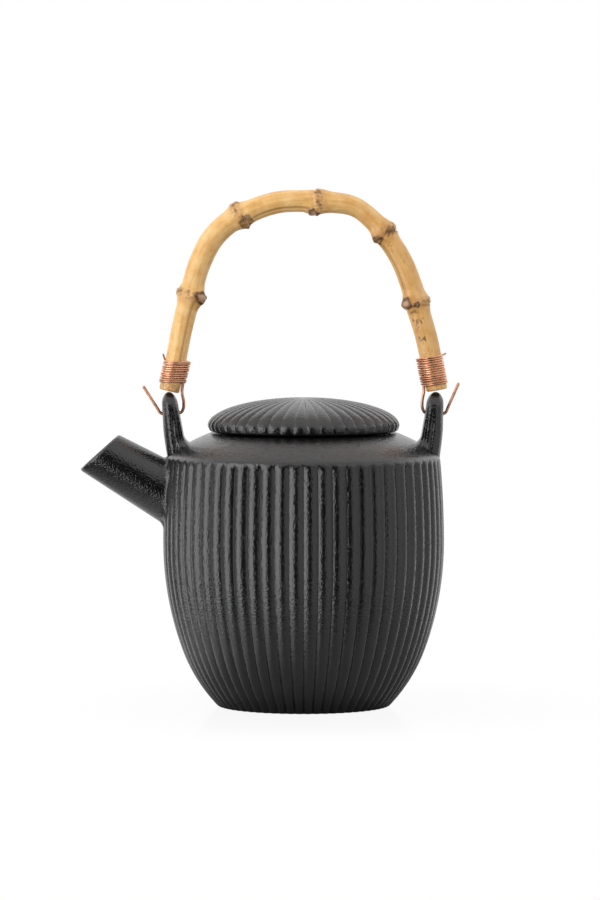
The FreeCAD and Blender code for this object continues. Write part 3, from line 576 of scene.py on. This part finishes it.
# furrow: from, to, angle and depth, between two nodes or from an end
FURROWS = [
    (2.0, node_places[0], 1.1, 0.3), (node_places[1], node_places[2], 0.9, 0.5),
    (node_places[3], node_places[4], 0.7, 0.25), (node_places[2], node_places[3], 4.0, 0.4),
]
print("bamboo", round(bail_length, 1), "mm long, nodes at", [round(p, 1) for p in node_places])


# %% The bamboo's surface
MARK_GIRTH, GRAIN_GIRTH, SAWN_EDGE, CAPS = 5.6, 5.4, 0.5, (0.86, 0.6, 0.3)
MARKS = ("ring", "scar", "rim", "core", "freckle", "furrow")


def turn_gap(angle, at):
    """Difference of two angles, between -pi and pi."""
    return np.mod(angle - at + np.pi, 2 * np.pi) - np.pi


def marked(walked, angle, mark, wobble=1.0):
    """Distance of every point from a mark's middle, 1 on the edge of a wobbly oval:
    hypot(along / half length, girth * angle gap / half width) * (1 + 0.12 sin 3a + 0.08 sin 5a)."""
    node, along, at, long, wide = mark[:5]
    down = (walked - node_places[node] - along) / long
    over = MARK_GIRTH * turn_gap(angle, at) / wide
    turn = np.arctan2(over, down)
    bumpy = 0.12 * np.sin(3 * turn + 2 * node + at) + 0.08 * np.sin(5 * turn + 7 * at)
    return np.hypot(down, over) * (1 + wobble * bumpy)


def bamboo_radius(walked, angle):
    """radius = girth + swelling with a step + stubs - freckles - furrows, and the marks to be painted."""
    share, girth = np.array(GIRTH).T
    radius = np.interp(walked / bail_length, share, girth) + 0 * angle
    marks = {key: np.zeros_like(radius) for key in MARKS}

    def paint(key, value):
        marks[key] = np.maximum(marks[key], value)

    for place, (_, height, side) in zip(node_places, NODES):
        wavy = 0.5 * np.sin(angle * 2 + place) + 0.25 * np.sin(angle * 5 + place)
        away = side * (walked - place + wavy)
        radius += height * smooth_step(-8, -0.3, away) * smooth_step(1.3, 0.1, away)
        radius += 0.3 * bell(away, 5.0) - 0.16 * bell(away - 1.7, 0.6)
        marks["ring"] += bell(away + 1.2, 2.6)
    for stub in STUBS:
        far = marked(walked, angle, stub)
        height, pale = stub[5:]
        radius += height * (0.62 * smooth_step(2.5, 0.4, far) + 0.38 * smooth_step(1.2, 0.85, far))
        radius -= 0.25 * smooth_step(0.75, 0.45, far)
        dark = 1.0 if pale > 0 else 0.7 if height > 1 else 0.35
        lens = marked(walked, angle, (*stub[:3], 0.42 * stub[3], 0.66 * stub[4]), 0.5)
        paint("scar", dark * smooth_step(1.25, 0.9, far))
        paint("rim", dark * bell(far - 0.85, 0.18))
        paint("core", pale * smooth_step(1.1, 0.7, lens))
    for freckle in FRECKLES:
        far = marked(walked, angle, freckle) + 0.25 * np.sin(angle * 9 + walked * 3)
        spot = freckle[5] * smooth_step(1.2, 0.6, far)
        paint("freckle", spot)
        radius -= 0.1 * spot
    for first, second, at, deep in FURROWS:
        reach = smooth_step(first - 1, first + 8, walked) * smooth_step(second + 1, second - 5, walked)
        valley = reach * bell(turn_gap(angle, at), 0.13)
        radius -= deep * valley - 0.4 * deep * reach * bell(turn_gap(angle, at - 0.35), 0.25)
        # painted shade: the furrow's groove is stored so that the finish darkens it
        paint("furrow", valley)
    near = np.clip(np.minimum(walked, bail_length - walked) / SAWN_EDGE, 0, 1)
    radius -= 0.45 * (1 - np.sqrt(np.clip(1 - (1 - near) ** 2, 0, 1)))
    marks["ring"] += 1.2 * smooth_step(4.6, 3.0, walked)
    # painted shade: the bamboo is marked darker towards the right arm, away from the strong light at the
    # left
    marks["right_arm_shade"] = smooth_step(0.4, 0.85, walked / bail_length) + 0 * angle
    return radius, {key: np.clip(value, 0, 1) for key, value in marks.items()}


def bamboo_grid():
    """line + radius * (cos(angle) * inner + sin(angle) * front): angle 0 is the inner side of the bend
    and a quarter turn the front. Smaller rings close each sawn end. The grain runs along the culm."""
    angle = full_turn(120)[None, :]
    radius, marks = bamboo_radius(bail_walked[:, None], angle)
    front, inner = frames(bail_line, (0, -1, 0))
    steps = len(bail_line)
    shrink = np.concatenate([CAPS[::-1], np.ones(steps), CAPS])[:, None]
    row = np.clip(np.arange(len(shrink)) - len(CAPS), 0, steps - 1)
    ring = around(angle, inner, front)[row]
    points = bail_line[row, None] + (shrink * radius[row])[..., None] * ring
    girth = GRAIN_GIRTH * shrink
    grain = np.broadcast_arrays(girth * np.cos(angle), girth * np.sin(angle), bail_walked[row, None])
    marks = {key: value[row] for key, value in marks.items()}
    return points, dict(marks, cut_end=1.0 * (shrink < 1), grain=np.stack(grain, axis=-1))


bamboo_points, bamboo_marks = bamboo_grid()
bamboo = put_surface("bamboo_bail", bamboo_points, **bamboo_marks)


# %% [markdown]
# ## The copper hooks
# A stiff wire lies along the inside of each arm, bends out through the hole of the lug, and turns up
# outside, so that it can't slip back.

# %% The hooks
HOOK, SNUG, ARM_STEPS = 0.75, 5.1, 32
# hook: its top along the arm, the radius of its bend inside the lug and of the lug's outer face, and the
# free end's radius and height above the hole
HOOKS = {"left": (15.6, 59.3, 69.87, (79.4, 13.4)), "right": (17.2, 58.6, 69.1, (76.8, 15.0))}


def arm(name):
    """The sawn end of an arm, the way up it, the way in towards the pot's axis, and its side."""
    side, end, above = (-1.0, 0, ARM_STEPS) if name == "left" else (1.0, -1, -1 - ARM_STEPS)
    up = unit(bail_line[above] - bail_line[end])
    return bail_line[end], up, np.array([-side * up[2], 0, side * up[0]]), side


def hook_line(name):
    """Down the arm, a bend towards the hole, nearly level through the lug, and up to the free end."""
    end, up, inward, side = arm(name)
    top, bend, face, (tip, rise) = HOOKS[name]
    away = inward * (SNUG + HOOK)
    down_arm = [end + up * top + away, end + up * 8 + away * 1.01, end + up * 1 + away * 1.09]
    through = [
        (bend, 5.2), (bend + 0.25, 2.1), (bend + 1.2, 0.35), (bend + 3.6, 0),
        (face - 2.5, -0.3), (face + 0.1, -0.45),
    ]
    turn = np.array([face + 1.25, 0.35])
    free = [turn + (np.array([tip, rise]) - turn) * share for share in (0, 0.15, 0.5, 1)]
    return smooth_line(down_arm + [(side * x, 0, HINGE + z) for x, z in through + free], 0.2)


hooks = {}
for name in HOOKS:
    hooks[name] = put_wire(f"hook_wire_{name}", *hook_line(name), HOOK, (0, 1, 0), 14)


# %% [markdown]
# ## The windings
# Thin copper wire binds bamboo and hook together in close turns. A taut wire takes the shortest way
# round both, so a turn is round on the bamboo and runs straight to the hook's wire. Hand winding is
# never quite even: the turns tilt and bunch a little, and both ends of the wire stick out.

# %% The windings
WIRE, PITCH, BOUND_GIRTH, STEPS = 0.45, 1.13, 5.18, 56
# winding: turns, start along the arm, phase of the wander, tilt, and the tail's way out and up
WINDINGS = {"left": (10.43, 4.0, 0.4, 0.9, 1.7, 2.6), "right": (12.37, 3.0, 1.9, 0.4, 2.3, 0.5)}


def turn_reach(angle):
    """Distance of the wire from the bamboo's axis, at an angle from the inner side: girth + wire on the
    bamboo, (girth + wire) / cos(touch - angle) beside the hook, and at most the hook's back."""
    centre = SNUG + HOOK
    gap = np.abs(turn_gap(angle, 0))
    touch = np.arccos((BOUND_GIRTH - HOOK) / centre)
    beside = (BOUND_GIRTH + WIRE) / np.cos(np.maximum(touch - gap, 0))
    bulge = np.maximum((HOOK + WIRE) ** 2 - (centre * np.sin(angle)) ** 2, 0)
    back = centre * np.cos(angle) + np.sqrt(bulge)
    return np.where(gap < 0.14, np.minimum(beside, back), beside)


def winding_line(name):
    """A spiral of even pitch: end + up * (start + pitch * angle / 2 pi) + reach * round, with a slow
    wander of the pitch, and a tail at each end that leaves the bamboo along the wire and bends out."""
    turns, start, lean, tilt, tail_out, tail_up = WINDINGS[name]
    end, up, inward, _ = arm(name)
    angle = np.linspace(0, 2 * np.pi * turns, int(turns * STEPS)) + 0.6
    wander = 0.13 * np.sin(angle * 0.37 + lean) + 0.07 * np.sin(angle + lean * 2)
    rise = start + PITCH * (angle - angle[0]) / (2 * np.pi) + wander + tilt * np.cos(angle)
    out = around(angle, inward, np.cross(up, inward))
    line = end + rise[:, None] * up + turn_reach(angle)[:, None] * out
    share = np.linspace(0, 1, 18)[1:, None]
    leave, begin = unit(line[-1] - line[-2]), unit(line[0] - line[1])
    tail = line[-1] + leave * share * 1.2 + (out[-1] * tail_out + up * tail_up) * share**1.6
    head = line[0] + begin * share * 2.4 + out[0] * share**2 * 0.5 - up * share**2 * 0.4
    return np.concatenate([head[::-1], line, tail]), up


windings = {}
for name in WINDINGS:
    line, up = winding_line(name)
    windings[name] = put_wire(f"copper_winding_{name}", line, lengths(line), WIRE, up, 10)


# %% [markdown]
# ## Finishes
# Each finish is a small tree of nodes on Object coordinates or on the values stored with the points. The
# helpers below only save typing: most of them add a node, fill its sockets and hand on what comes out.

# %% Helpers for finishes
def finish(name):
    """A new material with its node tree and its Principled shader."""
    material = bpy.data.materials.new(name)
    material.use_nodes = True
    return material, material.node_tree, material.node_tree.nodes["Principled BSDF"]


def feed(socket, value):
    """Links a socket to another one, or sets it to a number, a vector or a colour without alpha."""
    if isinstance(value, bpy.types.NodeSocket):
        socket.id_data.links.new(value, socket)
    else:
        socket.default_value = (*value, 1.0) if socket.type == "RGBA" else value


def fill(node, *values, **sources):
    """Feeds a node's sockets, by name with _ for a space or in their order; a name that is no socket is
    a field of the node."""
    for key, value in sources.items():
        socket = node.inputs.get(key.replace("_", " "))
        if socket is None:
            setattr(node, key, value)
        else:
            feed(socket, value)
    for socket, value in zip(node.inputs, values):
        feed(socket, value)
    return node


def add(beside, kind, *values, **sources):
    """A new node in a tree, or in the tree of a socket, with its sockets and fields filled."""
    return fill(beside.id_data.nodes.new("ShaderNode" + kind), *values, **sources)


def maths(operation, first, second, clamp=False):
    """One operation on two values, the first of them a socket."""
    return add(first, "Math", first, second, operation=operation, use_clamp=clamp).outputs[0]


def place(tree):
    """Object coordinates, which are the frame's own in metres."""
    return add(tree, "TexCoord").outputs["Object"]


def noise(source, scale, detail=4.0, rough=0.6):
    """Noise of a scale per unit of the given coordinates."""
    node = add(source, "TexNoise", Vector=source, Scale=scale, Detail=detail, Roughness=rough)
    return node.outputs["Fac"]


def ramp(source, stops):
    """A colour ramp: stops are (position, (red, green, blue)) or (position, grey)."""
    node = add(source, "ValToRGB", source)
    band = node.color_ramp
    while len(band.elements) < len(stops):
        band.elements.new(0.5)
    for element, (position, colour) in zip(band.elements, stops):
        element.position = position
        shade = (colour,) * 3 if isinstance(colour, float) else colour
        element.color = (*shade, 1.0)
    return node.outputs["Color"]


def eased(source, start, end, first, last):
    """A value that eases from first to last while the source goes from start to end."""
    ends = (source, start, end, first, last)
    return add(source, "MapRange", *ends, interpolation_type="SMOOTHSTEP").outputs["Result"]


def mixed(share, first, second, blend="MIX"):
    """Mixes two colours by a share; first is a socket, the others sockets or constants."""
    node = add(first, "Mix", share, data_type="RGBA", blend_type=blend)
    feed(node.inputs[6], first)
    feed(node.inputs[7], second)
    return node.outputs[2]


def relief(height, distance, strength=1.0, **below):
    """The normal of a bump of a real height in metres; Normal=... puts it on top of another bump."""
    node = add(height, "Bump", Strength=strength, Distance=distance, Height=height, **below)
    return node.outputs["Normal"]


# %% [markdown]
# ### Black glaze
# The glaze is a satin black with a fine sandy grain, about a millimetre across. The grain breaks the
# edge of every highlight, so it needs a bump. The sheen and the black itself also change slowly from
# place to place.

# %% The glaze
glaze, tree, shader = finish("black_glaze")
grain = noise(place(tree), 1050.0, 1.0, 0.5)
cloud = noise(place(tree), 95.0, 4.0, 0.55)
tone = ramp(cloud, [(0.3, (0.004, 0.004, 0.0042)), (0.7, (0.006, 0.006, 0.0063))])
speck = ramp(grain, [(0.32, 0.55), (0.68, 1.3)])
fill(
    shader, IOR=1.6, Normal=relief(grain, 0.00025),
    Base_Color=mixed(1.0, tone, speck, "MULTIPLY"),
    Roughness=ramp(cloud, [(0.3, 0.13), (0.7, 0.17)]),
)
print("glaze has", len(tree.nodes), "nodes")

# %% [markdown]
# ### Bamboo
# A culm has a hard yellow skin with fine fibres along it. It browns at the nodes, at the twig stubs and
# in freckles. The values stored with the points say where the rings and the stubs are, and the stored
# grain coordinates run along the culm, so that the fibres bend with it.

# %% The bamboo's finish
def stored(tree, name, output="Fac"):
    """A value stored with the points."""
    return add(tree, "Attribute", attribute_name=name).outputs[output]


cane, tree, shader = finish("bamboo")
even = stored(tree, "grain", "Vector")
along = add(tree, "Mapping", Vector=even, Scale=(1.0, 1.0, 0.05)).outputs["Vector"]
fibre = noise(along, 2.6, 5.0, 0.65)
broad = noise(along, 0.55, 3.0, 0.6)
cloud = noise(even, 0.14, 5.0, 0.65)
brown = noise(even, 0.9, 5.0, 0.7)
YELLOWS = [(0.3, (0.72, 0.40, 0.125)), (0.48, (0.86, 0.535, 0.205)), (0.68, (0.92, 0.65, 0.31))]
skin = ramp(cloud, YELLOWS)
streak = ramp(broad, [(0.35, (0.88, 0.80, 0.66)), (0.6, (1.0, 1.0, 1.0))])
thread = ramp(fibre, [(0.3, (0.86, 0.79, 0.68)), (0.6, (1.0, 1.0, 1.0))])
for shade in (streak, thread):
    skin = mixed(1.0, skin, shade, "MULTIPLY")
# painted shade: the skin is multiplied darker towards the right arm, away from the strong light at the
# left
right_arm_shade = mixed(1.0, skin, (0.87, 0.80, 0.72), "MULTIPLY")
skin = mixed(stored(tree, "right_arm_shade"), skin, right_arm_shade)
# each stain, and the painted shade in the furrow: the stored mark, the pattern that breaks it up with two
# stops of its ramp, and the colour
STAINS_AND_SHADE = [
    # the furrow's row is painted shade, a dark brown down its groove
    ("furrow", fibre, (0.35, 0.35), (0.65, 0.75), (0.30, 0.15, 0.05)),
    ("ring", brown, (0.38, 0.1), (0.58, 0.85), (0.40, 0.19, 0.065)),
    ("freckle", brown, (0.3, 0.75), (0.55, 1.0), (0.12, 0.05, 0.02)),
    ("scar", brown, (0.35, 0.45), (0.6, 1.0), (0.21, 0.088, 0.032)),
    ("rim", brown, (0.35, 0.4), (0.6, 1.0), (0.06, 0.022, 0.009)),
    ("core", brown, (0.35, 0.9), (0.65, 0.5), (0.60, 0.40, 0.27)),
]
for mark, pattern, low, high, colour in STAINS_AND_SHADE:
    patches = ramp(pattern, [low, high])
    skin = mixed(maths("MULTIPLY", stored(tree, mark), patches, True), skin, colour)
skin = mixed(stored(tree, "cut_end"), skin, (0.52, 0.30, 0.12))
fibres = relief(fibre, 0.00012, 0.7)
fill(
    shader, Base_Color=skin, Normal=relief(brown, 0.0003, 0.35, Normal=fibres),
    Roughness=ramp(fibre, [(0.3, 0.34), (0.7, 0.46)]),
)
print("bamboo has", len(tree.nodes), "nodes")

# %% [markdown]
# ### Copper
# Drawn copper wire is bright where it was bent and handled, and dull brown where air has reached it. One
# noise drives both its colour and its roughness, and a finer one is a faint relief of draw marks.

# %% The copper
COPPERS = [(0.3, (0.50, 0.23, 0.14)), (0.5, (0.74, 0.38, 0.235)), (0.72, (0.86, 0.48, 0.32))]
copper, tree, shader = finish("copper_wire")
tarnish = noise(place(tree), 160.0, 3.0, 0.55)
scratches = noise(place(tree), 700.0, 2.0, 0.5)
fill(
    shader, Metallic=1.0, Base_Color=ramp(tarnish, COPPERS),
    Roughness=ramp(tarnish, [(0.3, 0.42), (0.7, 0.28)]),
    Normal=relief(scratches, 0.00002, 0.5),
)
print("copper has", len(tree.nodes), "nodes")

# %% [markdown]
# ### Steel
# The basket in the mouth is thin stainless sheet, brushed round. Its shape in the CAD model is right, so
# its nodes stay and only get this finish: a noise that is stretched level makes the brush lines.

# %% The steel
STEELS = [(0.3, (0.50, 0.50, 0.49)), (0.7, (0.68, 0.68, 0.66))]
steel, tree, shader = finish("basket_steel")
level = add(tree, "Mapping", Vector=place(tree), Scale=(0.06, 0.06, 1.0)).outputs["Vector"]
brush = noise(level, 5200.0, 3.0, 0.6)
fill(
    shader, Metallic=1.0, Base_Color=ramp(brush, STEELS),
    Roughness=ramp(brush, [(0.3, 0.24), (0.7, 0.40)]),
    Normal=relief(brush, 0.00003, 0.5),
)
for name in ("infuser_rim", "infuser_wall", "infuser_base"):
    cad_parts[name].data.materials.clear()
    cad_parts[name].data.materials.append(steel)
print("steel has", len(tree.nodes), "nodes")

# %% [markdown]
# ## Every piece rides on its body
# A piece moves with the CAD body that carries it, hides the CAD node that it stands for, and takes
# the finish of its slot.

# %% Ride, replace and paint
FINISHES = {"black_glaze": glaze, "bamboo": cane, "copper_wire": copper}
PIECES = [
    (pot, "pot", "pot_body", "black_glaze"), (spout, "pot", "spout", "black_glaze"),
    (lid, "lid", "lid", "black_glaze"), (bamboo, "handle", "bamboo_handle", "bamboo"),
]
for side in ("left", "right"):
    PIECES += [
        (lugs[side], "pot", f"ear_{side}", "black_glaze"),
        (hooks[side], "handle", f"hook_{side}", "copper_wire"),
        (windings[side], "handle", f"winding_{side}", "copper_wire"),
    ]
for piece, body, node, slot in PIECES:
    piece.data.materials.clear()
    piece.data.materials.append(FINISHES[slot])
    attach(piece, body)
    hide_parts(node)
print("pieces:", ", ".join(piece.name for piece, *_ in PIECES))


# %% [markdown]
# ## Floor, light and camera
# A black glaze shows the room rather than its own colour. Tall soft panels stand round the pot and reach
# below the small round floor: a strong panel at the left draws a bright flank on every reed, a weaker
# one at the right a grey flank, and the dark gap between them leaves a black line. Light from above
# draws the shoulder and the lid.
#
# The floor is polished and pale; its colour is painted lighter at the left, as a pool of light from the
# strong left panel, and darker at the right. It fades out round the pot into a background that is white
# for the camera. The world behind the pot is bright for every other ray too, so the copper and the glaze
# mirror it. Close to the pot the floor keeps a faint shadow and reflection.

# %% The floor and the white background
FLOOR_RADIUS, FLOOR_DROP, FLOOR_CORNERS = 0.26, 0.0002, 64


def seen_directly(tree):
    """1 where the camera, or a ray through glass, sees a surface, and 0 for light."""
    path = add(tree, "LightPath").outputs
    return maths("ADD", path["Is Camera Ray"], path["Is Transmission Ray"], True)


def blended(share, first, second):
    """Mixes two shaders by a share."""
    return add(share, "MixShader", share, first, second).outputs["Shader"]


disc = around(full_turn(FLOOR_CORNERS), (1, 0, 0), (0, 1, 0)) * FLOOR_RADIUS
floor_mesh = bpy.data.meshes.new("pale_floor")
floor_mesh.from_pydata((disc - [0, 0, FLOOR_DROP]).tolist(), [], [list(range(FLOOR_CORNERS))])
floor = put_object("pale_floor", floor_mesh)
paper, tree, shader = finish("pale_floor")
far = add(tree, "VectorMath", place(tree), operation="LENGTH").outputs["Value"]
sideways = add(tree, "SeparateXYZ", place(tree)).outputs["X"]
# painted light: the floor's colour is pale at the left, a pool of light from the strong left panel, and
# dark grey to the right
fill(shader, Roughness=0.12, IOR=2.0, Base_Color=eased(sideways, -0.11, -0.03, 0.85, 0.3))
clear = add(tree, "BsdfTransparent").outputs["BSDF"]
table = blended(eased(far, 0.1, FLOOR_RADIUS, 0.0, 1.0), shader.outputs["BSDF"], clear)
white = add(tree, "Emission", Strength=1.0).outputs["Emission"]
whiteness = maths("MULTIPLY", seen_directly(tree), eased(far, 0.05, 0.2, 0.92, 1.0))
fill(tree.nodes["Material Output"], Surface=blended(whiteness, table, white))
floor_mesh.materials.append(paper)
print("floor radius", FLOOR_RADIUS, "m")

# %% The world
OVERHEAD = (0.0, 0.2, 0.98)
world = bpy.data.worlds.new("studio")
bpy.context.scene.world = world
world.use_nodes = True
tree = world.node_tree
way = add(tree, "TexCoord").outputs["Generated"]
upward = add(tree, "VectorMath", way, OVERHEAD, operation="DOT_PRODUCT").outputs["Value"]
backward = add(tree, "SeparateXYZ", way).outputs["Y"]
bright = seen_directly(tree)
for light in (eased(upward, 0.12, 0.55, 0.02, 1.15), eased(backward, 0.3, 0.9, 0.0, 0.9)):
    bright = maths("MAXIMUM", bright, light)
fill(tree.nodes["Background"], Color=(1.0, 1.0, 1.0), Strength=bright)
print("world has", len(tree.nodes), "nodes")


# %% The lamps
def put_aimed(name, data, place, target):
    """A lamp or a camera at a place, turned to a target, in metres."""
    thing = put_object(name, data)
    thing.location = place
    thing.rotation_euler = (Vector(target) - Vector(place)).to_track_quat("-Z", "Y").to_euler()
    return thing


def softbox(name, place, target, width, height, radiance):
    """A rectangular area lamp that the camera doesn't see; its power is pi * radiance * area."""
    lamp = bpy.data.lights.new(name, "AREA")
    lamp.shape, lamp.size, lamp.size_y = "RECTANGLE", width, height
    lamp.energy = np.pi * radiance * width * height
    thing = put_aimed(name, lamp, place, target)
    thing.visible_camera = False
    return thing


def panel(name, first, last, radiance, distance=1.5, low=-0.65, high=1.15):
    """A tall softbox that spans a range of angles from the camera's side, in degrees, positive to the
    right."""
    turn = np.radians((first + last) / 2)
    width = 2 * distance * np.tan(np.radians(abs(last - first) / 2))
    place = (distance * np.sin(turn), -distance * np.cos(turn), (low + high) / 2)
    softbox(name, place, (0, 0, place[2]), width, high - low, radiance)


# panel: the angles it spans and its radiance
PANELS = {
    "left_panel": (-80, -36, 2.9), "left_edge_panel": (-36, -27, 1.6),
    "left_side_panel": (-140, -82, 0.5), "right_panel": (12, 70, 0.76),
    "right_side_panel": (72, 140, 0.6),
}
for name, span in PANELS.items():
    panel(name, *span)
# the fill light lifts the bamboo and the copper, and no glaze mirrors it
FILL_PLACE, FILL_AIM, FILL_SIZE, FILL_RADIANCE = (0.8, -1.2, 0.05), (0, 0, 0.2), (1.4, 1.2), 0.6
fill_lamp = softbox("fill", FILL_PLACE, FILL_AIM, *FILL_SIZE, FILL_RADIANCE)
fill_lamp.visible_glossy = False
print("panels:", ", ".join(PANELS))

# %% [markdown]
# The camera stands well back with a long lens and looks down by about three degrees. The picture is 900
# pixels high, and the photograph's scale of 0.494 mm for a pixel at the pot's axis gives the lens.

# %% The camera
DISTANCE, CAMERA_HEIGHT, PIXEL, IMAGE_HEIGHT = 2.74, 0.287, 0.494 * MM, 900
AIM = (-0.0018, 0.0, 0.127)
camera_data = bpy.data.cameras.new("camera")
camera_data.sensor_width, camera_data.sensor_fit, camera_data.clip_end = 36.0, "AUTO", 50.0
camera_data.lens = camera_data.sensor_width * DISTANCE / (PIXEL * IMAGE_HEIGHT)
camera = put_aimed("camera", camera_data, (AIM[0], -DISTANCE, CAMERA_HEIGHT), AIM)
bpy.context.scene.camera = camera
bpy.context.scene.view_settings.view_transform = "Standard"
print("lens", round(camera_data.lens, 1), "mm")
